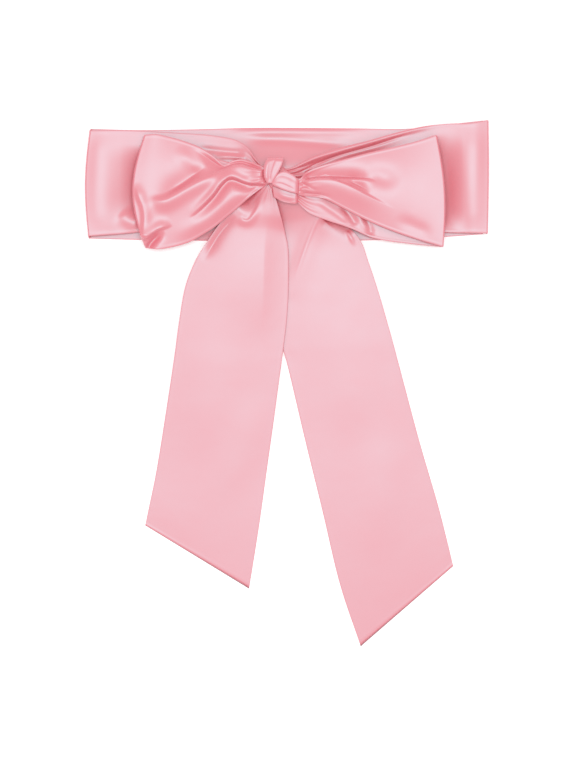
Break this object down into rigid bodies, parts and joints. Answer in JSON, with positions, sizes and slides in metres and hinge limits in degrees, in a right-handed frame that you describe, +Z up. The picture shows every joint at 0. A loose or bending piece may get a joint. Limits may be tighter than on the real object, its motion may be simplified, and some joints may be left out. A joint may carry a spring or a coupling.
{
  "type": "satin sash",
  "caption": "Long pink satin waist sash laid out flat, its waist loop folded double and tied in a soft bow with two slanted tails.",
  "frame": {"origin": "under the middle of the whole outline, on the surface that the sash lies on", "axes": "+X to the right bow loop, +Y from the tails' ends towards the top of the waist band, +Z up off the surface"},
  "size_m": [0.3673, 0.4778, 0.0252],
  "materials": {
    "satin": "pale pink polyester satin, soft sheen"
  },
  "bodies": {
    "root": {"band_back": "satin", "band_front_left": "satin", "band_front_right": "satin", "bow_left_front": "satin", "bow_left_back": "satin", "bow_right_front": "satin", "bow_right_back": "satin", "tail_left": "satin", "tail_right": "satin", "knot_core": "satin", "knot_upper_wrap": "satin", "knot_lower_wrap": "satin"}
  },
  "joints": []
}
